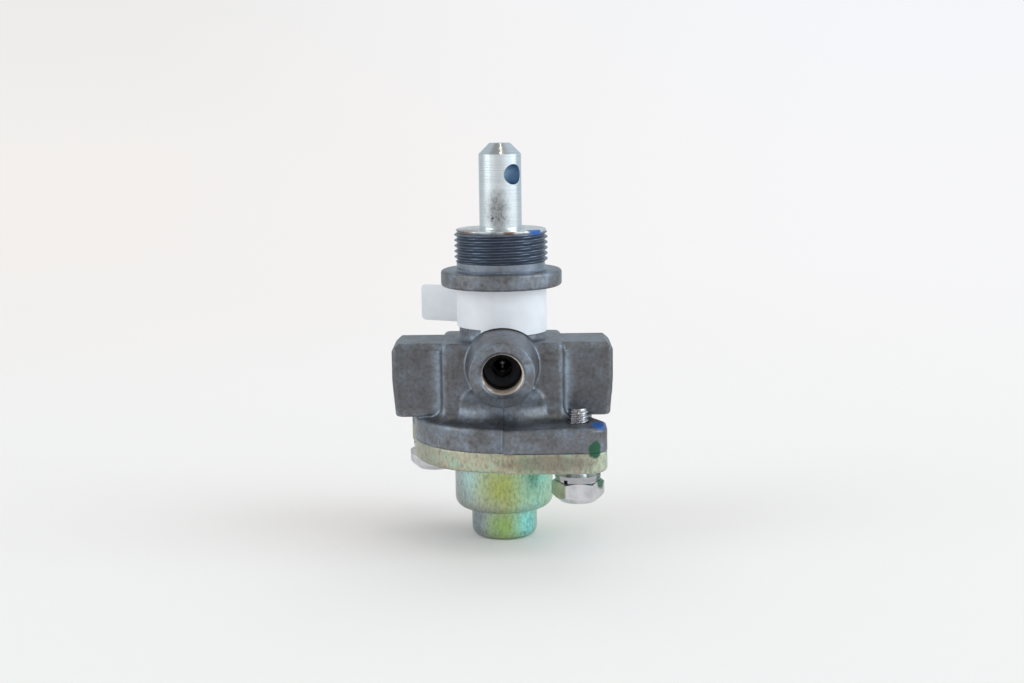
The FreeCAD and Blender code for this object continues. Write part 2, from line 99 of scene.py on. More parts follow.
# The tapped ports
PORTS = ("supply_port", "delivery_port", "exhaust_port")
PORT_PITCH = 25.4 / 18 * MM
PORT_DEPTH = 0.8 * MM
PORT_TAPER = 0.4
PORT_MOUTH_R = 6.45 * MM
PORT_RELIEF_R = 6.8 * MM
PORT_LENGTH = 10.4 * MM
PORT_BRIGHT_R = 6.42 * MM
PORT_BRIGHT_FROM = 1.0 * MM
PORT_BRIGHT_TO = 8.6 * MM

# The cover screws
SCREW_PITCH = 25.4 / 20 * MM
SCREW_DEPTH = 0.6 * MM
SCREW_R = 3.175 * MM
SCREW_POINT_R = 2.45 * MM
SCREW_POINT_SLOPE = 0.6
SCREW_TIP_R = 0.0001 * MM
SCREW_SHOWS = 5.0 * MM

# Cells that the castings are rebuilt from
CAST_CELL = 0.3 * MM

# How far the exhaust port's face stands in front of the axis
EXHAUST_REACH = 29.0 * MM

# How finely turned pieces are cut: steps round each, and slices in one turn of its thread
NECK_AROUND, NECK_SLICES = 192, 14
PORT_AROUND, PORT_SLICES = 144, 12
SCREW_AROUND, SCREW_SLICES = 96, 12

# The paper behind the part: where it starts to glow, and how far across and up its tint turns
GLOW_FROM_Y = 0.42
GLOW_SOFT = 0.26
HIGH_FROM_Z = 0.2
HIGH_SOFT = 0.12
TINT_HALF_W = 0.35
FAR = 9.0
MIRRORED_TINT = (0.64, 0.72, 0.76, 1.0)


def srgb(r, g, b):
    """An 8-bit screen colour as linear light."""
    values = []
    for c in (r, g, b):
        c = c / 255
        values.append(c / 12.92 if c <= 0.04045 else ((c + 0.055) / 1.055) ** 2.4)
    return (*values, 1.0)


# Node helpers


class Mat:
    """A node material, built by small steps."""

    def __init__(self, name, metallic=0.0, roughness=0.5):
        self.mat = bpy.data.materials.new(name)
        self.mat.use_nodes = True
        self.tree = self.mat.node_tree
        self.shader = self.tree.nodes["Principled BSDF"]
        self.shader.inputs["Metallic"].default_value = metallic
        self.shader.inputs["Roughness"].default_value = roughness
        self.coords = self.node("ShaderNodeTexCoord").outputs["Object"]
        self.parts = self.node("ShaderNodeSeparateXYZ")
        self.link(self.coords, self.parts.inputs[0])

    def node(self, kind, **settings):
        n = self.tree.nodes.new(kind)
        for key, value in settings.items():
            setattr(n, key, value)
        return n

    def link(self, source, target):
        self.tree.links.new(source, target)

    def feed(self, value, target):
        """Links a socket, or sets a constant."""
        if isinstance(value, bpy.types.NodeSocket):
            self.link(value, target)
        else:
            target.default_value = value

    def math(self, operation, a, b=0.0, c=0.0):
        n = self.node("ShaderNodeMath", operation=operation)
        for value, target in zip((a, b, c), n.inputs):
            self.feed(value, target)
        return n.outputs[0]

    def times(self, a, b):
        return self.math("MULTIPLY", a, b)

    def larger(self, a, b):
        return self.math("MAXIMUM", a, b)

    def noise(self, scale, detail=4.0, rough=0.55, vector=None, distortion=0.0):
        """Fractal noise, its scale in features per metre."""
        n = self.node("ShaderNodeTexNoise")
        n.inputs["Scale"].default_value = scale
        n.inputs["Detail"].default_value = detail
        n.inputs["Roughness"].default_value = rough
        n.inputs["Distortion"].default_value = distortion
        self.link(vector or self.coords, n.inputs["Vector"])
        return n.outputs["Fac"]

    def stretched(self, across, along, up):
        """Coordinates for a noise with its own features per metre on each axis."""
        n = self.node("ShaderNodeMapping")
        n.inputs["Scale"].default_value = (across, along, up)
        self.link(self.coords, n.inputs[0])
        return n.outputs[0]

    def ramp(self, fac, stops):
        """Colours at their places along a value, with eased steps between."""
        n = self.node("ShaderNodeValToRGB")
        n.color_ramp.interpolation = "EASE"
        elements = n.color_ramp.elements
        while len(elements) < len(stops):
            elements.new(0.5)
        for element, (place, colour) in zip(elements, stops):
            element.position = place
            element.color = colour
        self.link(fac, n.inputs[0])
        return n.outputs[0]

    def band(self, value, low, high, soft):
        """1 between low and high, falling to 0 over a soft edge each side."""
        rise = self.node("ShaderNodeMapRange", clamp=True)
        fall = self.node("ShaderNodeMapRange", clamp=True)
        for n, start, end in ((rise, low - soft, low + soft), (fall, high + soft, high - soft)):
            self.feed(value, n.inputs["Value"])
            n.inputs["From Min"].default_value = start
            n.inputs["From Max"].default_value = end
        return self.times(rise.outputs[0], fall.outputs[0])

    def spot(self, place, soft, ragged, ragged_scale=600.0):
        """1 inside an oval spot with a ragged edge. Its place is its centre and half its size, in mm."""
        centre, size = ([v * MM for v in triple] for triple in place)
        shift = self.node("ShaderNodeVectorMath", operation="SUBTRACT")
        self.link(self.coords, shift.inputs[0])
        shift.inputs[1].default_value = centre
        squeeze = self.node("ShaderNodeVectorMath", operation="DIVIDE")
        self.link(shift.outputs[0], squeeze.inputs[0])
        squeeze.inputs[1].default_value = size
        reach = self.node("ShaderNodeVectorMath", operation="LENGTH")
        self.link(squeeze.outputs[0], reach.inputs[0])
        wobble = self.math("SUBTRACT", self.noise(ragged_scale), 0.5)
        distance = self.math("MULTIPLY_ADD", wobble, ragged, reach.outputs["Value"])
        n = self.node("ShaderNodeMapRange", clamp=True)
        self.link(distance, n.inputs["Value"])
        n.inputs["From Min"].default_value = 1.0 + soft
        n.inputs["From Max"].default_value = 1.0 - soft
        return n.outputs[0]

    def mix(self, fac, a, b, blend="MIX"):
        """Colour a where fac is 0 and colour b where it is 1."""
        n = self.node("ShaderNodeMix", data_type="RGBA", blend_type=blend)
        self.feed(fac, n.inputs["Factor"])
        self.feed(a, n.inputs["A"])
        self.feed(b, n.inputs["B"])
        return n.outputs["Result"]

    def blend(self, fac, a, b):
        """Value a where fac is 0 and value b where it is 1."""
        n = self.node("ShaderNodeMix", data_type="FLOAT")
        self.feed(fac, n.inputs[0])
        self.feed(a, n.inputs[2])
        self.feed(b, n.inputs[3])
        return n.outputs[0]

    def bump(self, height, distance, strength, below=None):
        n = self.node("ShaderNodeBump")
        n.inputs["Distance"].default_value = distance
        n.inputs["Strength"].default_value = strength
        self.link(height, n.inputs["Height"])
        if below is not None:
            self.link(below, n.inputs["Normal"])
        return n.outputs[0]

    def finish(self, colour, roughness=None, metallic=None, normal=None):
        """Links what is given to the shader and returns the material."""
        for value, name in (
            (colour, "Base Color"),
            (roughness, "Roughness"),
            (metallic, "Metallic"),
            (normal, "Normal"),
        ):
            if value is not None:
                self.link(value, self.shader.inputs[name])
        return self.mat


BLUE_PAINT = srgb(12, 82, 158)
GREEN_PAINT = srgb(6, 78, 50)
# Painted highlight for convex edges
EDGE_HIGHLIGHT_GREY = srgb(162, 170, 180)
# Painted bluish reflection for concave hollows
HOLLOW_SHEEN_BLUE = srgb(150, 168, 188)
# Painted shade deep in the ports' bores
BORE_SHADE_BLACK = srgb(26, 26, 30)

# Zones of the looks, each from its low to its high side
WALL_Z = (39 * MM, 57 * MM)
BLOCK_ASIDE = (21 * MM, 60 * MM)
# Where the painted bluish highlight lies on the bands beside the core
STRIP_SHEEN_ASIDE = (17.3 * MM, 19.8 * MM)
FLAT_ASIDE = (9.4 * MM, 15.9 * MM)
FLAT_Z = (42 * MM, 56 * MM)
# Where the painted shade lies on the skirt top below the pad
DRUM_SHADE_ASIDE = (-MM, 19 * MM)
DRUM_SHADE_Z = (41.5 * MM, 48 * MM)
FRONT_Y = (-40 * MM, -14.2 * MM)
# Where the painted shade lies along the step between flange and pad
STEP_SHADE_X = (0.15 * MM, 0.35 * MM)
STEP_SHADE_Z = (32 * MM, 42 * MM)
COVER_WALL_Z = (24 * MM, 31 * MM)
COVER_LEFT_X = (-60 * MM, -16 * MM)
# Where the plunger is painted dark as shade inside the body
INSIDE_SHADE_Z = (-10 * MM, 70 * MM)
SCREW_POINT_Z = (36 * MM, 50 * MM)

# Paint dabs and marks of use: centre and half size in mm
NECK_TOP = BODY_HIGH.z / MM
NECK_BLUE = ((10.6, -8.9, NECK_TOP), (3.0, 2.8, 1.5))
EAR_BLUE = ((26.6, -22.5, 36.9), (1.9, 4.4, 1.3))
EAR_GREEN = ((25.3, -25.6, 31.0), (1.9, 4.2, 2.8))
SCREW_GREEN = ((27.4, -19.0, 20.5), (1.6, 3.2, 2.7))
LEFT_RUST = ((-10.5, -7.0, NECK_TOP), (4.0, 4.5, 2.0))
FRONT_RUST = ((2.4, -12.6, NECK_TOP), (1.6, 1.5, 2.0))
WORN_COVER = ((12.0, -28.0, 27.5), (12.0, 5.0, 2.6))
GREASE_SMEAR = ((-1.0, -5.7, 96.0), (2.8, 3.5, 5.0))
DARK_SCRATCHES = ((-0.8, -6.0, 93.9), (2.6, 3.0, 1.5))

# Colour, share and place of each tinted field on the cover's cups
COVER_FIELDS = (
    (srgb(184, 224, 222), 0.7, ((-9.6, -10.0, 20.0), (4.5, 8.0, 5.0))),
    (srgb(180, 192, 100), 0.8, ((-0.5, -14.0, 17.0), (6.4, 7.0, 5.0))),
    (srgb(160, 232, 214), 0.8, ((9.6, -9.5, 19.0), (5.0, 8.0, 6.0))),
    (srgb(160, 198, 110), 0.8, ((-0.5, -9.6, 4.5), (4.4, 5.0, 3.6))),
    (srgb(140, 230, 226), 0.8, ((6.8, -7.0, 5.0), (3.2, 5.0, 4.5))),
    (srgb(136, 150, 160), 0.7, ((-7.6, -6.0, 5.0), (2.6, 5.0, 5.0))),
)


def bend_share(m, low, high):
    """How far the surface bends from low towards high, from 0 to 1. Hollows lie below 0."""
    share = m.node("ShaderNodeMapRange", clamp=True)
    m.link(m.node("ShaderNodeNewGeometry").outputs["Pointiness"], share.inputs["Value"])
    share.inputs["From Min"].default_value = 0.5 + low
    share.inputs["From Max"].default_value = 0.5 + high
    return share.outputs[0]


def cast_body_material():
    """Zinc die casting: grey mottled metal, with painted shade on the flat front faces, the skirt top, the
    pad step and deep in the ports, a painted bluish sheen in hollows and side bands, and a painted highlight
    on convex edges.
    """
    m = Mat("cast_zinc", metallic=0.85)
    x, z = m.parts.outputs["X"], m.parts.outputs["Z"]
    blotch = m.noise(210, 7, 0.6, distortion=0.4)
    fine = m.noise(900, 4, 0.6)
    colour = m.ramp(
        blotch,
        [
            (0.32, srgb(100, 99, 101)),
            (0.47, srgb(114, 116, 120)),
            (0.58, srgb(123, 129, 138)),
            (0.72, srgb(138, 149, 162)),
        ],
    )
    aside = m.math("ABSOLUTE", x)
    walls = m.band(z, *WALL_Z, 1.2 * MM)
    front = m.band(m.parts.outputs["Y"], *FRONT_Y, 0.3 * MM)
    # Block faces painted darker: painted shade where they face the dim front.
    block_face_shade = m.times(m.band(aside, *BLOCK_ASIDE, 1.2 * MM), walls)
    colour = m.mix(m.times(block_face_shade, 0.6), colour, srgb(93, 93, 95))
    # Flat front faces painted darker: painted shade where they face the dim front.
    flat_face_shade = m.times(m.band(aside, *FLAT_ASIDE, 0.4 * MM), m.band(z, *FLAT_Z, 0.6 * MM))
    colour = m.mix(m.times(flat_face_shade, 0.45), colour, srgb(99, 97, 98))
    # Bands beside the core painted lighter blue-grey: a painted bluish highlight on the concave blend.
    strip_sheen = m.times(m.band(aside, *STRIP_SHEEN_ASIDE, 0.9 * MM), walls)
    colour = m.mix(m.times(strip_sheen, blotch), colour, srgb(140, 152, 166))
    # Hollows painted lighter blue: a painted bluish reflection.
    colour = m.mix(m.times(bend_share(m, -0.012, -0.05), 0.7), colour, HOLLOW_SHEEN_BLUE)
    # Convex edges painted lighter grey: a painted edge highlight.
    colour = m.mix(m.times(bend_share(m, 0.03, 0.09), 0.3), colour, EDGE_HIGHLIGHT_GREY)
    # The skirt top below the pad painted darker: painted shade over its sky reflection.
    drum_shade = m.times(m.band(aside, *DRUM_SHADE_ASIDE, 1.5 * MM), m.band(z, *DRUM_SHADE_Z, 1.5 * MM))
    colour = m.mix(m.times(drum_shade, m.times(front, 0.8)), colour, srgb(70, 74, 81))
    grain = m.ramp(fine, [(0.32, (0.78, 0.77, 0.76, 1)), (0.5, (1, 1, 1, 1)), (0.68, (1.18, 1.19, 1.21, 1))])
    colour = m.mix(1.0, colour, grain, "MULTIPLY")
    # A dark line painted down the step between flange and pad: painted shade.
    step_shade = m.times(m.band(x, *STEP_SHADE_X, 0.12 * MM), m.band(z, *STEP_SHADE_Z, MM))
    colour = m.mix(m.times(m.times(step_shade, front), 0.6), colour, srgb(58, 60, 64))
    rough = m.blend(blotch, 0.32, 0.55)
    colour, rough = neck_finish(m, colour, rough)
    bright, deep_shade = tapped_shares(m)
    colour = m.mix(bright, colour, srgb(206, 192, 178))
    # The deep bore painted near black: painted shade.
    colour = m.mix(m.times(deep_shade, 0.85), colour, BORE_SHADE_BLACK)
    rough = m.blend(bright, rough, 0.3)
    blue = m.larger(m.spot(NECK_BLUE, 0.15, 0.8), m.spot(EAR_BLUE, 0.12, 0.7))
    green = m.spot(EAR_GREEN, 0.08, 0.5)
    colour = m.mix(blue, colour, BLUE_PAINT)
    colour = m.mix(green, colour, GREEN_PAINT)
    paint = m.larger(blue, green)
    rough = m.blend(paint, rough, 0.35)
    metallic = m.blend(paint, m.blend(bright, 0.85, 0.25), 0.0)
    skin = m.bump(m.noise(480, 5, 0.6), 0.00012, 0.45)
    normal = m.bump(fine, 0.00005, 0.5, skin)
    return m.finish(colour, rough, metallic, normal)


def tapped_shares(m):
    """Where the ports' bright cut walls are, and the deep bore behind each, which is painted dark as shade.
    """
    bright, deep_shade = 0.0, 0.0
    for name in PORTS:
        mouth, outward = port_mouth(name)
        shift, reach = from_axis(m, mouth, outward)
        along = m.node("ShaderNodeVectorMath", operation="DOT_PRODUCT")
        m.link(shift, along.inputs[0])
        along.inputs[1].default_value = outward
        depth = along.outputs["Value"]
        within = m.band(reach, -PORT_BRIGHT_R, PORT_BRIGHT_R, 0.04 * MM)
        near = m.times(within, m.band(depth, -PORT_BRIGHT_TO, -PORT_BRIGHT_FROM, 0.15 * MM))
        deep = m.times(within, m.band(depth, -2 * PORT_LENGTH, -PORT_BRIGHT_TO, 0.5 * MM))
        bright = m.larger(bright, near)
        deep_shade = m.larger(deep_shade, deep)
    return bright, deep_shade


def from_axis(m, place, axis):
    """The way from a place to each point, and each point's distance from the axis through it."""
    shift = m.node("ShaderNodeVectorMath", operation="SUBTRACT")
    m.link(m.coords, shift.inputs[0])
    shift.inputs[1].default_value = place
    across = m.node("ShaderNodeVectorMath", operation="CROSS_PRODUCT")
    m.link(shift.outputs[0], across.inputs[0])
    across.inputs[1].default_value = axis
    reach = m.node("ShaderNodeVectorMath", operation="LENGTH")
    m.link(across.outputs[0], reach.inputs[0])
    return shift.outputs[0], reach.outputs["Value"]


def neck_finish(m, colour, rough):
    """The neck's dark thread, its machined top with a rusty rim, and the bright relief."""
    z = m.parts.outputs["Z"]
    top = BODY_HIGH.z
    thread = m.band(z, THREAD_MID - THREAD_HALF - 0.2 * MM, top - 0.9 * MM, 0.3 * MM)
    colour = m.mix(thread, colour, srgb(101, 110, 124))
    relief = m.band(z, PANEL_Z + 0.1 * MM, THREAD_MID - THREAD_HALF - 0.5 * MM, 0.3 * MM)
    colour = m.mix(m.times(relief, 0.7), colour, srgb(126, 130, 138))
    land = m.band(z, top - 0.6 * MM, top + MM, 0.25 * MM)
    dull = m.ramp(m.noise(420, 4, 0.6), [(0.4, srgb(222, 226, 226)), (0.66, srgb(184, 182, 178))])
    rust = m.larger(m.spot(LEFT_RUST, 0.3, 1.2, 500), m.spot(FRONT_RUST, 0.3, 1.0, 500))
    dull = m.mix(m.times(rust, 0.75), dull, srgb(148, 112, 90))
    colour = m.mix(land, colour, dull)
    smooth = m.larger(m.larger(land, relief), thread)
    return colour, m.blend(smooth, rough, 0.28)


def plated_cover_material():
    """Passivated zinc: silver grey with yellow-green and teal fields, and fine dark dirt."""
    m = Mat("passivated_zinc", metallic=0.8)
    x, z = m.parts.outputs["X"], m.parts.outputs["Z"]
    place = m.math("MULTIPLY_ADD", x, 22.0, m.math("MULTIPLY_ADD", m.noise(90, 4, 0.5), 0.9, 0.05))
    colour = m.ramp(
        place,
        [
            (0.12, srgb(156, 166, 164)),
            (0.38, srgb(172, 180, 168)),
            (0.52, srgb(182, 190, 152)),
            (0.68, srgb(176, 204, 168)),
            (0.86, srgb(156, 204, 200)),
        ],
    )
    for tint, share, field in COVER_FIELDS:
        colour = m.mix(m.times(m.spot(field, 0.7, 0.5, 200), share), colour, tint)
    wall = m.band(z, *COVER_WALL_Z, 0.4 * MM)
    streak = m.noise(260, 4, 0.6)
    beige = m.ramp(
        streak,
        [(0.3, srgb(182, 164, 146)), (0.5, srgb(194, 190, 162)), (0.7, srgb(176, 206, 180))],
    )
    colour = m.mix(m.times(wall, 0.8), colour, beige)
    left = m.band(x, *COVER_LEFT_X, 6 * MM)
    colour = m.mix(m.times(left, 0.45), colour, srgb(128, 136, 130))
    colour = m.mix(m.times(m.spot(WORN_COVER, 0.35, 0.6), 0.6), colour, srgb(108, 92, 82))
    grime = m.noise(1.0, 6, 0.72, m.stretched(1300, 1300, 640))
    grime = m.ramp(grime, [(0.42, (0, 0, 0, 1)), (0.72, (0.6, 0.6, 0.6, 1))])
    colour = m.mix(grime, colour, srgb(96, 90, 84))
    green = m.spot(EAR_GREEN, 0.08, 0.5)
    colour = m.mix(green, colour, GREEN_PAINT)
    rough = m.blend(streak, 0.3, 0.5)
    metallic = m.blend(green, 0.8, 0.0)
    normal = m.bump(m.noise(420, 4, 0.6), 0.00012, 0.5)
    return m.finish(colour, rough, metallic, normal)


def turned_steel_material():
    """Bright turned steel with fine rings, a painted bluish reflection in the cross hole, painted shade
    where it runs inside the body, and a dark scratched smudge.
    """
    m = Mat("turned_steel", metallic=1.0)
    rings = m.noise(1.0, 3, 0.6, m.stretched(20, 20, 5200))
    colour = m.ramp(rings, [(0.34, srgb(202, 210, 214)), (0.66, srgb(228, 235, 238))])
    smear = m.spot(GREASE_SMEAR, 0.5, 0.8, 500)
    colour = m.mix(m.times(smear, 0.65), colour, srgb(112, 108, 108))
    marks = m.noise(1.0, 3, 0.6, m.stretched(1500, 1500, 1000))
    marks = m.ramp(marks, [(0.5, (0, 0, 0, 1)), (0.62, (1, 1, 1, 1))])
    marks = m.times(marks, m.larger(m.spot(DARK_SCRATCHES, 0.4, 0.6, 700), m.times(smear, 0.4)))
    colour = m.mix(m.times(marks, 0.85), colour, srgb(44, 42, 46))
    hole = hole_share(m)
    # The cross hole's wall painted light blue: a painted bluish reflection.
    colour = m.mix(hole, colour, srgb(150, 178, 204))
    # Where the plunger runs inside the body it is painted darker: painted shade that hides its glint.
    inside_shade = m.band(m.parts.outputs["Z"], *INSIDE_SHADE_Z, MM)
    colour = m.mix(m.times(inside_shade, 0.8), colour, srgb(70, 68, 66))
    rough = m.blend(m.larger(smear, hole), 0.17, 0.45)
    return m.finish(colour, rough, None, m.bump(rings, 0.00002, 0.6))


def hole_share(m):
    """1 on the wall of the plunger's cross hole."""
    mount = MOUNTS["knob_pin_hole"]
    reach = from_axis(m, mount["pos_m"], mount["axis"])[1]
    hole_r = mount["dims"]["r_mm"] * MM
    return m.band(reach, -hole_r, hole_r + 0.05 * MM, 0.04 * MM)


def bright_screw_material():
    """Bright zinc plate, very smooth, with faint clouds and duller washers and points."""
    m = Mat("bright_zinc_plate", metallic=1.0)
    z = m.parts.outputs["Z"]
    cloud = m.noise(300, 3, 0.5)
    colour = m.ramp(cloud, [(0.3, srgb(190, 190, 194)), (0.7, srgb(216, 216, 219))])
    washers = m.band(z, WASHER_LOW.z, WASHER_HIGH.z, 0.1 * MM)
    dull = m.larger(washers, m.band(z, *SCREW_POINT_Z, MM))
    colour = m.mix(m.times(dull, 0.5), colour, srgb(132, 131, 132))
    green = m.spot(SCREW_GREEN, 0.2, 0.6)
    colour = m.mix(green, colour, GREEN_PAINT)
    metallic = m.blend(green, 1.0, 0.0)
    rough = m.blend(cloud, 0.15, 0.27)
    return m.finish(colour, rough, metallic, m.bump(cloud, 0.00003, 0.4))


def rubber_material():
    """Black moulded rubber."""
    m = Mat("black_rubber", roughness=0.55)
    grain = m.noise(1500, 3, 0.5)
    colour = m.ramp(grain, [(0.3, srgb(26, 26, 27)), (0.7, srgb(40, 40, 42))])
    return m.finish(colour, None, None, m.bump(grain, 0.00002, 0.5))


def brass_material():
    """Turned brass, dulled by oil."""
    m = Mat("turned_brass", metallic=1.0)
    grain = m.noise(900, 3, 0.5)
    colour = m.ramp(grain, [(0.3, srgb(138, 112, 66)), (0.7, srgb(160, 134, 84))])
    return m.finish(colour, m.blend(grain, 0.24, 0.36), None, m.bump(grain, 0.00002, 0.5))


def spring_steel_material():
    """Plain grey spring steel."""
    m = Mat("spring_steel", metallic=1.0)
    grain = m.noise(700, 3, 0.5)
    colour = m.ramp(grain, [(0.3, srgb(120, 122, 126)), (0.7, srgb(150, 152, 158))])
    return m.finish(colour, m.blend(grain, 0.28, 0.42), None, m.bump(grain, 0.00002, 0.5))


def label_material():
    """Bare white film."""
    m = Mat("label_film", roughness=0.42)
    cloud = m.noise(160, 3, 0.5)
    colour = m.ramp(cloud, [(0.3, srgb(224, 226, 231)), (0.7, srgb(232, 234, 239))])
    return m.finish(colour, None, None, m.bump(cloud, 0.00004, 0.4))


SLOT_MAKERS = {
    "cast_body": cast_body_material,
    "plated_cover": plated_cover_material,
    "turned_steel": turned_steel_material,
    "seal_rubber": rubber_material,
    "guide_brass": brass_material,
    "spring_steel": spring_steel_material,
    "bright_screw": bright_screw_material,
    "label_film": label_material,
}


def paint_nodes():
    """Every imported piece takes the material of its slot."""
    made = {slot: maker() for slot, maker in SLOT_MAKERS.items()}
    for part in frame["record"]["subparts"]:
        obj = frame["nodes"][part["node"]]
        obj.data.materials.clear()
        obj.data.materials.append(made[part["material_slot"]])
    return made


# Geometry helpers


def node_mesh(node):
    """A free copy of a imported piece's mesh, in the row frame."""
    obj = frame["nodes"][node]
    mesh = obj.data.copy()
    mesh.transform(obj.matrix_world)
    return mesh


def dress(name, mesh, slot, body, *nodes):
    """A piece that is shown in place of packed ones and moves with their body."""
    mesh.materials.clear()
    mesh.materials.append(made[slot])
    obj = bpy.data.objects.new(name, mesh)
    bpy.context.scene.collection.objects.link(obj)
    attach(obj, body)
    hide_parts(*nodes)
    return obj


def softened(mesh, cell, smoothing, keep):
    """The mesh with a casting's soft edges: rebuilt from small cells, smoothed and thinned."""
    obj = bpy.data.objects.new("soft_source", mesh)
    bpy.context.scene.collection.objects.link(obj)
    cells = obj.modifiers.new("cells", "REMESH")
    cells.mode = "VOXEL"
    cells.voxel_size = cell
    smooth = obj.modifiers.new("smooth", "SMOOTH")
    smooth.factor = 0.5
    smooth.iterations = smoothing
    thin = obj.modifiers.new("thin", "DECIMATE")
    thin.ratio = keep
    result = bpy.data.meshes.new_from_object(obj.evaluated_get(bpy.context.evaluated_depsgraph_get()))
    bpy.data.objects.remove(obj)
    return result


def get_points(mesh):
    """A mesh's points as an array of rows."""
    points = np.empty(len(mesh.vertices) * 3)
    mesh.vertices.foreach_get("co", points)
    return points.reshape(-1, 3)


def set_points(mesh, points):
    """Moves a mesh's points to the rows of an array."""
    mesh.vertices.foreach_set("co", points.ravel())
    mesh.update()


def cut_above(mesh, z):
    """Removes everything above a level."""
    bm = bmesh.new()
    bm.from_mesh(mesh)
    everything = bm.verts[:] + bm.edges[:] + bm.faces[:]
    bmesh.ops.bisect_plane(bm, geom=everything, plane_co=(0, 0, z), plane_no=(0, 0, 1), clear_outer=True)
    bm.to_mesh(mesh)
    bm.free()


def joined(*meshes):
    """Several meshes as one."""
    bm = bmesh.new()
    for mesh in meshes:
        bm.from_mesh(mesh)
    whole = bpy.data.meshes.new("joined")
    bm.to_mesh(whole)
    bm.free()
    return whole


def thread_under(height, angle, pitch, depth):
    """How far a 60 degree thread lies under its crest, with an eighth of flat at crest and root."""
    phase = (height / pitch - angle / (2 * math.pi)) % 1.0
    return depth * np.clip((abs(2 * phase - 1) - 0.125) / 0.75, 0.0, 1.0)


def turn_angles(around):
    """Evenly spaced angles once round."""
    return np.arange(around) * 2 * math.pi / around


def lathe(rows, around, inside_out=False):
    """A turned surface from (radius, height) rows. A radius is a number or one per angle."""
    angles = turn_angles(around)
    verts = []
    for radius, height in rows:
        r = np.broadcast_to(radius, around)
        verts.extend(zip(r * np.cos(angles), r * np.sin(angles), np.full(around, height)))
    faces = []
    for row in range(len(rows) - 1):
        for i in range(around):
            j = (i + 1) % around
            a, b = row * around, (row + 1) * around
            face = (a + i, a + j, b + j, b + i)
            faces.append(face[::-1] if inside_out else face)
    mesh = bpy.data.meshes.new("turned")
    mesh.from_pydata([tuple(v) for v in verts], [], faces)
    mesh.shade_smooth()
    mesh.set_sharp_from_angle(angle=math.radians(40))
    return mesh


def round_edge(r, z, size, start, end, steps=5):
    """Rows round a quarter edge whose centre is (r, z), between two angles in degrees."""
    rows = []
    for i in range(steps + 1):
        a = math.radians(start + (end - start) * i / steps)
        rows.append((r + size * math.cos(a), z + size * math.sin(a)))
    return rows


def neck_mesh():
    """The turned top of the body: panel flange, relief, cut thread, land and bore mouth."""
    angles = turn_angles(NECK_AROUND)
    low = PANEL_Z - PANEL_FLANGE_T
    top = BODY_HIGH.z
    thread_low = THREAD_MID - THREAD_HALF - (THREAD_R - RELIEF_R)
    thread_high = THREAD_MID + THREAD_HALF + (THREAD_R - LAND_R)
    rows = [(RELIEF_R - SMALL_EDGE, low)]
    rows += round_edge(PANEL_FLANGE_R - NECK_EDGE, low + NECK_EDGE, NECK_EDGE, -90, 0)
    rows += round_edge(PANEL_FLANGE_R - NECK_EDGE, PANEL_Z - NECK_EDGE, NECK_EDGE, 0, 90)
    rows += [(RELIEF_R + SMALL_EDGE, PANEL_Z), (RELIEF_R, PANEL_Z + SMALL_EDGE)]
    steps = round((thread_high - thread_low) / (NECK_PITCH / NECK_SLICES))
    for i in range(steps + 1):
        z = thread_low + (thread_high - thread_low) * i / steps
        wall = THREAD_R - thread_under(z, angles, NECK_PITCH, NECK_DEPTH)
        entry = min(RELIEF_R + z - thread_low, LAND_R + thread_high - z)
        rows.append((np.minimum(wall, entry), z))
    rows += round_edge(LAND_R - SMALL_EDGE, top - SMALL_EDGE, SMALL_EDGE, 0, 90, 3)
    rows += [(NECK_BORE_R + SMALL_EDGE, top), (NECK_BORE_R, top - SMALL_EDGE), (NECK_BORE_R, low)]
    return lathe(rows, NECK_AROUND)


def port_mesh(name):
    """The tapped wall of one port, as it stands in the body."""
    angles = turn_angles(PORT_AROUND)
    steps = round(PORT_LENGTH / (PORT_PITCH / PORT_SLICES))
    rows = []
    for i in range(steps + 1):
        depth = PORT_LENGTH * i / steps
        root = PORT_R + PORT_DEPTH * (1 - PORT_TAPER * depth / PORT_LENGTH)
        wall = root - thread_under(depth, angles, PORT_PITCH, root - PORT_R)
        rows.append((np.maximum(wall, PORT_MOUTH_R - depth), -depth))
    mesh = lathe(rows, PORT_AROUND, inside_out=True)
    mouth, outward = port_mouth(name)
    turn = outward.to_track_quat("Z", "Y").to_matrix().to_4x4()
    mesh.transform(Matrix.Translation(mouth) @ turn)
    return mesh


def port_mouth(name):
    """Where a port's axis leaves the body, and the way it faces."""
    outward = Vector(MOUNTS[name]["axis"])
    reach = max(abs(BODY_LOW.dot(outward)), abs(BODY_HIGH.dot(outward)))
    if name == "exhaust_port":
        reach = EXHAUST_REACH
    place = Vector(MOUNTS[name]["pos_m"])
    return place + outward * (reach - place.dot(outward)), outward


def open_port(points, name):
    """Moves the rebuilt bore of a port back, behind its tapped wall."""
    mouth, outward = port_mouth(name)
    shift = points - np.array(mouth)
    depth = -shift @ np.array(outward)
    radial = shift + depth[:, None] * np.array(outward)
    reach = np.linalg.norm(radial, axis=1)
    inside = (depth > 0.25 * MM) & (depth < PORT_LENGTH) & (reach > 0.9 * PORT_R) & (reach < PORT_RELIEF_R)
    points[inside] += radial[inside] * (PORT_RELIEF_R / reach[inside] - 1)[:, None]


def dress_body():
    """The casting with soft edges, its turned neck and its tapped ports."""
    casting = softened(node_mesh("valve_body"), CAST_CELL, 5, 0.34)
    cut_above(casting, PANEL_Z - PANEL_FLANGE_T + SMALL_EDGE)
    points = get_points(casting)
    for name in PORTS:
        open_port(points, name)
    set_points(casting, points)
    whole = joined(casting, neck_mesh(), *[port_mesh(name) for name in PORTS])
    dress("body_casting", whole, "cast_body", "valve", "valve_body")


def dress_cover():
    """The cover with a casting's soft edges."""
    casting = softened(node_mesh("lower_cover"), CAST_CELL, 4, 0.35)
    dress("cover_casting", casting, "plated_cover", "valve", "lower_cover")


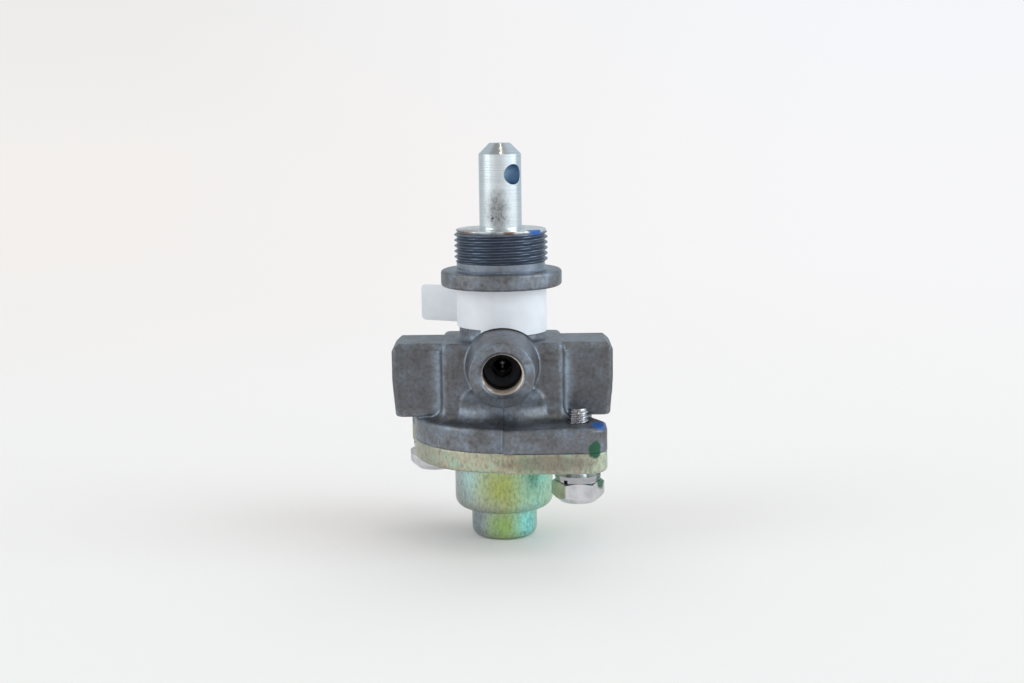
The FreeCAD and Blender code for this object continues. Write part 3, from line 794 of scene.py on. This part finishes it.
def dress_screw(side):
    """A cover screw whose point has a cut thread."""
    node = side + "_cover_screw"
    low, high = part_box(node)
    head = node_mesh(node)
    start = high.z - SCREW_SHOWS
    cut_above(head, start)
    angles = turn_angles(SCREW_AROUND)
    steps = round(SCREW_SHOWS / (SCREW_PITCH / SCREW_SLICES))
    rows = []
    for i in range(steps + 1):
        z = start + SCREW_SHOWS * i / steps
        wall = SCREW_R - thread_under(z, angles, SCREW_PITCH, SCREW_DEPTH)
        point = SCREW_POINT_R + SCREW_POINT_SLOPE * (high.z - z)
        rows.append((np.minimum(wall, point), z))
    rows.append((SCREW_TIP_R, high.z))
    point = lathe(rows, SCREW_AROUND)
    centre = (low + high) / 2
    point.transform(Matrix.Translation((centre.x, centre.y, 0)))
    dress(side + "_screw_with_thread", joined(head, point), "bright_screw", "valve", node)


def dress_spring():
    """The return spring, as a piece of its own on its own copy of the mesh."""
    coils = node_mesh("return_spring")
    spring = dress("squashed_spring", coils, "spring_steel", "valve", "return_spring")
    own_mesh(spring)


def make_camera():
    """The photograph's camera."""
    data = bpy.data.cameras.new("photo_camera")
    data.sensor_width = SENSOR
    data.lens = FOCAL_PX * SENSOR / FRAME_W
    data.clip_start = 0.01
    data.clip_end = 50
    camera = bpy.data.objects.new("photo_camera", data)
    bpy.context.scene.collection.objects.link(camera)
    forward = Vector((0, math.cos(CAMERA_PITCH), -math.sin(CAMERA_PITCH)))
    aim = Vector((CAMERA_ASIDE, 0, CAMERA_AIM_UP))
    level = forward.to_track_quat("-Z", "Y").to_matrix().to_4x4()
    turn = Matrix.Rotation(-CAMERA_ROLL, 4, "Z")
    camera.matrix_world = Matrix.Translation(aim - forward * CAMERA_REACH) @ level @ turn
    bpy.context.scene.camera = camera


def make_floor():
    """A pale sweep: flat floor, a round turn-up far behind, and a wall."""
    front, back, turn_r, wall_top, half_w, steps = -4.0, 0.55, 0.5, 4.0, 5.0, 24
    profile = [(front, 0.0)]
    for i in range(steps + 1):
        a = math.radians(90) * i / steps
        profile.append((back + turn_r * math.sin(a), turn_r * (1 - math.cos(a))))
    profile.append((back + turn_r, wall_top))
    mesh = bpy.data.meshes.new("floor_sweep")
    verts = [(x, y, z) for y, z in profile for x in (-half_w, half_w)]
    faces = [(2 * i, 2 * i + 1, 2 * i + 3, 2 * i + 2) for i in range(len(profile) - 1)]
    mesh.from_pydata(verts, [], faces)
    mesh.shade_smooth()
    floor = bpy.data.objects.new("floor_sweep", mesh)
    bpy.context.scene.collection.objects.link(floor)
    mesh.materials.append(backdrop_material())


def backdrop_material():
    """Pale paper that takes the shadow, and evenly lit paper behind it."""
    m = Mat("pale_paper", roughness=0.8)
    m.shader.inputs["Specular IOR Level"].default_value = 0.1
    m.shader.inputs["Base Color"].default_value = srgb(239, 235, 233)
    across = m.node("ShaderNodeMapRange", clamp=True)
    m.link(m.parts.outputs["X"], across.inputs["Value"])
    across.inputs["From Min"].default_value = -TINT_HALF_W
    across.inputs["From Max"].default_value = TINT_HALF_W
    low = m.ramp(across.outputs[0], [(0.0, srgb(243, 240, 238)), (1.0, srgb(247, 247, 249))])
    high = m.ramp(
        across.outputs[0],
        [(0.0, srgb(233, 233, 234)), (0.5, srgb(242, 243, 245)), (1.0, srgb(243, 246, 251))],
    )
    colour = m.mix(m.band(m.parts.outputs["Z"], HIGH_FROM_Z, FAR, HIGH_SOFT), low, high)
    mirrored = m.node("ShaderNodeLightPath").outputs["Is Glossy Ray"]
    colour = m.mix(mirrored, colour, m.mix(1.0, colour, MIRRORED_TINT, "MULTIPLY"))
    glow = m.node("ShaderNodeEmission")
    m.link(colour, glow.inputs["Color"])
    choose = m.node("ShaderNodeMixShader")
    m.link(m.band(m.parts.outputs["Y"], GLOW_FROM_Y, FAR, GLOW_SOFT), choose.inputs[0])
    m.link(m.shader.outputs[0], choose.inputs[1])
    m.link(glow.outputs[0], choose.inputs[2])
    m.link(choose.outputs[0], m.tree.nodes["Material Output"].inputs["Surface"])
    return m.mat


def world_light():
    """A white tent: bright sides, a greyer front and a dim zenith."""
    world = bpy.data.worlds.new("studio")
    bpy.context.scene.world = world
    world.use_nodes = True
    tree = world.node_tree
    tree.nodes.clear()

    def node(kind, **settings):
        made_node = tree.nodes.new(kind)
        for key, value in settings.items():
            setattr(made_node, key, value)
        return made_node

    def levels(source, stops):
        """Light levels along one way of looking, each with its own red and green if given."""
        ramp = node("ShaderNodeValToRGB")
        ramp.color_ramp.interpolation = "EASE"
        while len(ramp.color_ramp.elements) < len(stops):
            ramp.color_ramp.elements.new(0.5)
        for element, (place, level, *tint) in zip(ramp.color_ramp.elements, stops):
            element.position = place
            red, green = tint or (1.0, 1.0)
            element.color = (level * red, level * green, level, 1)
        half = node("ShaderNodeMath", operation="MULTIPLY_ADD")
        half.inputs[1].default_value = 0.5
        half.inputs[2].default_value = 0.5
        tree.links.new(source, half.inputs[0])
        tree.links.new(half.outputs[0], ramp.inputs[0])
        return ramp.outputs[0]

    def times(a, b):
        product = node("ShaderNodeMix", data_type="RGBA", blend_type="MULTIPLY")
        product.inputs["Factor"].default_value = 1.0
        tree.links.new(a, product.inputs["A"])
        tree.links.new(b, product.inputs["B"])
        return product.outputs["Result"]

    coords = node("ShaderNodeTexCoord")
    parts = node("ShaderNodeSeparateXYZ")
    tree.links.new(coords.outputs["Generated"], parts.inputs[0])
    sides = levels(
        parts.outputs["X"],
        [
            (0.0, 0.68, 0.94, 0.98),
            (0.16, 0.74, 0.94, 0.98),
            (0.34, 0.42),
            (0.5, 0.42),
            (0.64, 0.56),
            (0.82, 1.0, 0.84, 0.94),
            (1.0, 1.0, 0.84, 0.94),
        ],
    )
    heights = levels(parts.outputs["Z"], [(0.0, 0.8), (0.5, 1.0), (0.78, 0.95), (0.94, 0.5), (1.0, 0.48)])
    depths = levels(parts.outputs["Y"], [(0.0, 0.85), (0.4, 0.95), (0.8, 1.0)])
    glow = node("ShaderNodeBackground")
    glow.inputs["Strength"].default_value = WORLD_LEVEL
    tree.links.new(times(times(sides, heights), depths), glow.inputs["Color"])
    output = node("ShaderNodeOutputWorld")
    tree.links.new(glow.outputs[0], output.inputs[0])


def make_light():
    """The tent's glow and the lamps, each turned to the part."""
    world_light()
    for name, place, size, power, colour in LAMPS:
        data = bpy.data.lights.new(name, "AREA")
        data.shape = "RECTANGLE"
        data.size, data.size_y = size
        data.energy = power
        data.color = colour
        lamp = bpy.data.objects.new(name, data)
        lamp.location = place
        aim = Vector((0, 0, CAMERA_AIM_UP)) - Vector(place)
        lamp.rotation_mode = "QUATERNION"
        lamp.rotation_quaternion = aim.to_track_quat("-Z", "Y")
        bpy.context.scene.collection.objects.link(lamp)


make_camera()
made = paint_nodes()
dress_body()
dress_cover()
dress_screw("front")
dress_screw("back")
dress_spring()
make_floor()
make_light()
bpy.context.scene.view_settings.view_transform = "Standard"
